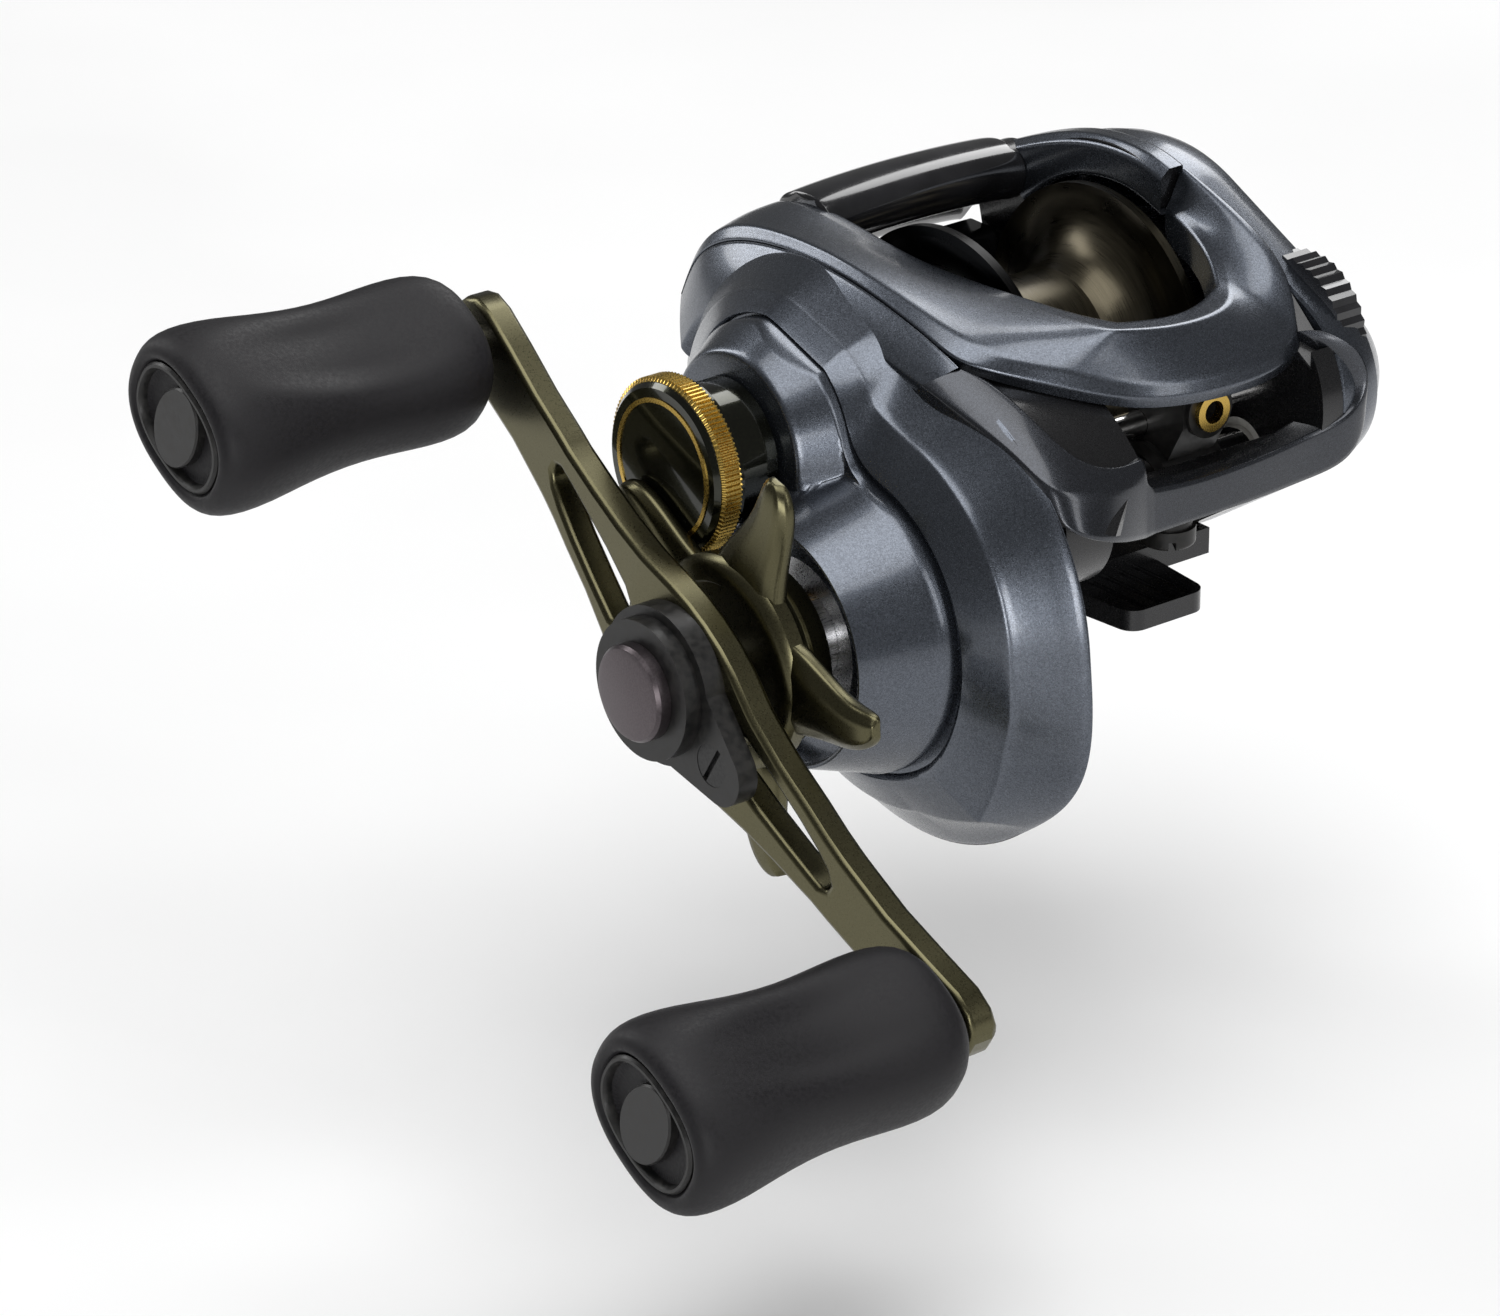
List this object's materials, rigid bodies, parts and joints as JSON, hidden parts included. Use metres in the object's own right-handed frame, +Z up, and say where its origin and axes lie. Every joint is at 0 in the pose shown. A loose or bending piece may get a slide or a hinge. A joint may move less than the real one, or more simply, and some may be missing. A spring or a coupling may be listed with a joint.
{
  "type": "bait-casting fishing reel",
  "caption": "Low-profile bait-casting fishing reel with side handle, star drag, tension knob, level wind and a foot that seats on a rod.",
  "frame": {"origin": "underside of the foot, straight below the spool axis", "axes": "+X along the spool axis to the handle side, +Y forward to the rod tip, +Z up"},
  "size_m": [0.1188, 0.0962, 0.0701],
  "materials": {
    "body_paint": "slate blue-grey metallic flake paint, semi-gloss",
    "frame_paint": "dark grey to gloss black paint",
    "spool_bronze": "satin dark bronze anodised",
    "olive_anodised": "satin olive-bronze anodised with bright bevels",
    "knob_olive": "gloss dark olive anodised",
    "gold": "gold anodised",
    "knob_rubber": "matte charcoal",
    "gloss_black": "gloss black",
    "guide_black": "satin black",
    "steel": "ground steel",
    "chrome_rod": "polished",
    "gear_brass": "cut brass",
    "nut_metal": "satin purplish grey",
    "drag_fibre": "woven carbon fibre, matte",
    "nylon": "natural nylon"
  },
  "bodies": {
    "reel_body": {"frame": "frame_paint", "top_hood": "body_paint", "handle_side_cover": "body_paint", "cover_screws": "steel", "yoke_posts": "steel", "yoke_springs": "steel", "spool_bearing_handle": "steel", "drive_shaft_bearing": "steel", "pinion_bearing": "steel", "anti_reverse_bearing": "steel", "worm_tube": "chrome_rod", "worm_bushes": "nylon", "guide_rod": "chrome_rod"},
    "palm_cover": {"palm_side_cover": "body_paint", "palm_lock_screw": "steel", "brake_drum": "steel", "spool_bearing_palm": "steel"},
    "brake_wheel": {"brake_dial": "gloss_black"},
    "spool_group": {"spool": "spool_bronze", "spool_shaft": "steel", "spool_pin": "steel", "brake_hub": "spool_bronze", "brake_shoes": "nylon"},
    "pinion_group": {"pinion": "gear_brass"},
    "yoke_group": {"clutch_yoke": "steel"},
    "thumb_group": {"thumb_bar": "gloss_black", "clutch_plate": "guide_black"},
    "drive_group": {"drive_shaft": "steel", "drive_gear": "gear_brass", "wind_drive_gear": "nylon", "drag_washers": "drag_fibre", "key_washer": "steel", "pressure_plate": "steel", "anti_reverse_sleeve": "steel", "drag_springs": "steel", "handle_arm": "olive_anodised", "handle_nut": "nut_metal", "nut_retainer": "guide_black", "retainer_screw": "steel", "knob_posts": "steel", "knob_screws": "steel"},
    "star_group": {"star_drag": "olive_anodised", "star_nut": "steel"},
    "lower_knob_group": {"lower_knob": "knob_rubber", "lower_knob_cap": "gloss_black", "lower_knob_bushes": "nylon"},
    "upper_knob_group": {"upper_knob": "knob_rubber", "upper_knob_cap": "gloss_black", "upper_knob_bushes": "nylon"},
    "worm_group": {"worm_shaft": "steel", "worm_gear": "nylon"},
    "guide_group": {"line_guide": "guide_black", "guide_eye": "gold", "pawl": "steel", "pawl_cap": "guide_black"},
    "tension_group": {"tension_knob": "knob_olive", "tension_grip": "gold", "tension_inlay": "gold", "tension_pad": "drag_fibre"}
  },
  "joints": [
    {"name": "handle_turn", "type": "hinge", "parent": "reel_body", "child": "drive_group", "pos_m": [0, 0.01341, 0.00573], "axis": [1, 0, 0], "continuous": true},
    {"name": "star_turn", "type": "hinge", "parent": "drive_group", "child": "star_group", "pos_m": [0, 0.01341, 0.00573], "axis": [1, 0, 0], "range_deg": [-180, 180]},
    {"name": "lower_knob_spin", "type": "hinge", "parent": "drive_group", "child": "lower_knob_group", "pos_m": [0, 0.05174, -0.01785], "axis": [1, 0, 0], "continuous": true},
    {"name": "upper_knob_spin", "type": "hinge", "parent": "drive_group", "child": "upper_knob_group", "pos_m": [0, -0.02491, 0.02931], "axis": [1, 0, 0], "continuous": true},
    {"name": "spool_spin", "type": "hinge", "parent": "reel_body", "child": "spool_group", "pos_m": [0, 0, 0.022], "axis": [1, 0, 0], "continuous": true},
    {"name": "thumb_press", "type": "slide", "parent": "reel_body", "child": "thumb_group", "axis": [0, 0, -1], "range_m": [0, 0.004]},
    {"name": "yoke_slide", "type": "slide", "parent": "reel_body", "child": "yoke_group", "axis": [1, 0, 0], "range_m": [0, 0.0015]},
    {"name": "pinion_spin", "type": "hinge", "parent": "yoke_group", "child": "pinion_group", "pos_m": [0, 0, 0.022], "axis": [1, 0, 0], "continuous": true},
    {"name": "worm_turn", "type": "hinge", "parent": "reel_body", "child": "worm_group", "pos_m": [0, 0.02092, 0.01509], "axis": [1, 0, 0], "continuous": true},
    {"name": "guide_slide", "type": "slide", "parent": "reel_body", "child": "guide_group", "axis": [1, 0, 0], "range_m": [-0.0053, 0.0097]},
    {"name": "tension_turn", "type": "hinge", "parent": "reel_body", "child": "tension_group", "pos_m": [0, 0, 0.022], "axis": [1, 0, 0], "range_deg": [-360, 360]},
    {"name": "palm_cover_pull", "type": "slide", "parent": "reel_body", "child": "palm_cover", "axis": [-1, 0, 0], "range_m": [0, 0.045]},
    {"name": "dial_turn", "type": "hinge", "parent": "palm_cover", "child": "brake_wheel", "pos_m": [0, 0.0223, 0.0278], "axis": [1, 0, 0], "range_deg": [0, 270]}
  ],
  "couplings": [
    {"joint": "spool_spin", "follows": "handle_turn", "ratio": -8.5},
    {"joint": "pinion_spin", "follows": "handle_turn", "ratio": -8.5},
    {"joint": "worm_turn", "follows": "handle_turn", "ratio": -1.1818},
    {"joint": "yoke_slide", "follows": "thumb_press", "ratio": 0.375}
  ]
}
